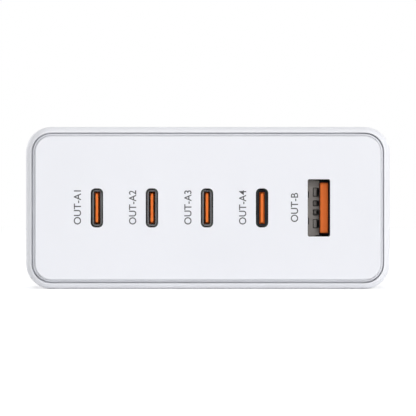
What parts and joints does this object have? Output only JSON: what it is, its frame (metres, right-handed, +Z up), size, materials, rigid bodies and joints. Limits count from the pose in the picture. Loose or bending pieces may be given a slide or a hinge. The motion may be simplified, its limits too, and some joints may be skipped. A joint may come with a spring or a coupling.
{
  "type": "desktop charger",
  "caption": "White rounded-box desktop charger with a framed front panel of four upright oval sockets and a wide socket, all with orange tongues, and a two-pin mains inlet behind.",
  "frame": {"origin": "bottom centre of the body's bounding box, on the table", "axes": "+X to the viewer's right along the front, +Y from the front panel to the rear inlet, +Z up"},
  "size_m": [0.08, 0.098, 0.0356],
  "materials": {
    "shell_plastic": "fine satin moulded",
    "panel_plastic": "fine satin moulded",
    "socket_steel": "dark plated sheet",
    "collar_steel": "satin plated sheet",
    "slate_plastic": "dark blue-grey moulded",
    "plate_steel": "satin plated sheet",
    "tongue_plastic": "orange moulded",
    "black_plastic": "black moulded",
    "gold_contact": "gold plated",
    "dark_contact": "dark plated spring",
    "circuit_board": "solder mask",
    "pin_metal": "nickel plated",
    "strap_copper": "tinned strip",
    "spreader_aluminium": "rolled sheet",
    "chip_plastic": "moulded",
    "pad_rubber": "soft pad",
    "ferrite": "sintered",
    "winding_tape": "tape",
    "copper_wire": "enamelled",
    "can_sleeve": "shrunk sleeve",
    "can_aluminium": "drawn can",
    "film_box": "moulded box",
    "fuse_ceramic": "fired",
    "disc_ceramic": "dipped",
    "barrier_sheet": "sheet"
  },
  "bodies": {
    "root": {"body_shell": "shell_plastic", "boost_choke_core": "ferrite", "boost_choke_winding": "copper_wire", "bridge_rectifier": "chip_plastic", "bulk_capacitor": "can_sleeve", "control_chips": "chip_plastic", "converter_boards": "circuit_board", "feedback_couplers": "chip_plastic", "film_capacitor": "film_box", "front_panel": "panel_plastic", "fuse": "fuse_ceramic", "inlet_housing": "black_plastic", "inlet_pins": "pin_metal", "inlet_straps": "strap_copper", "inrush_thermistor": "disc_ceramic", "isolation_barrier": "barrier_sheet", "lower_heat_spreader": "spreader_aluminium", "main_board": "circuit_board", "mains_choke_core": "ferrite", "mains_choke_windings": "copper_wire", "output_capacitors": "can_aluminium", "output_inductors": "ferrite", "oval_port_1_base": "black_plastic", "oval_port_1_collar": "collar_steel", "oval_port_1_contacts": "gold_contact", "oval_port_1_shell": "socket_steel", "oval_port_1_tongue": "tongue_plastic", "oval_port_2_base": "black_plastic", "oval_port_2_collar": "collar_steel", "oval_port_2_contacts": "gold_contact", "oval_port_2_shell": "socket_steel", "oval_port_2_tongue": "tongue_plastic", "oval_port_3_base": "black_plastic", "oval_port_3_collar": "collar_steel", "oval_port_3_contacts": "gold_contact", "oval_port_3_shell": "socket_steel", "oval_port_3_tongue": "tongue_plastic", "oval_port_4_base": "black_plastic", "oval_port_4_collar": "slate_plastic", "oval_port_4_contacts": "gold_contact", "oval_port_4_shell": "socket_steel", "oval_port_4_tongue": "tongue_plastic", "port_board": "circuit_board", "power_transistors": "chip_plastic", "safety_capacitors": "disc_ceramic", "thermal_pads": "pad_rubber", "transformer_core": "ferrite", "transformer_winding": "winding_tape", "upper_heat_spreader": "spreader_aluminium", "wide_port_back_plate": "plate_steel", "wide_port_base": "black_plastic", "wide_port_contacts": "dark_contact", "wide_port_shell": "socket_steel", "wide_port_tongue": "tongue_plastic"}
  },
  "joints": []
}
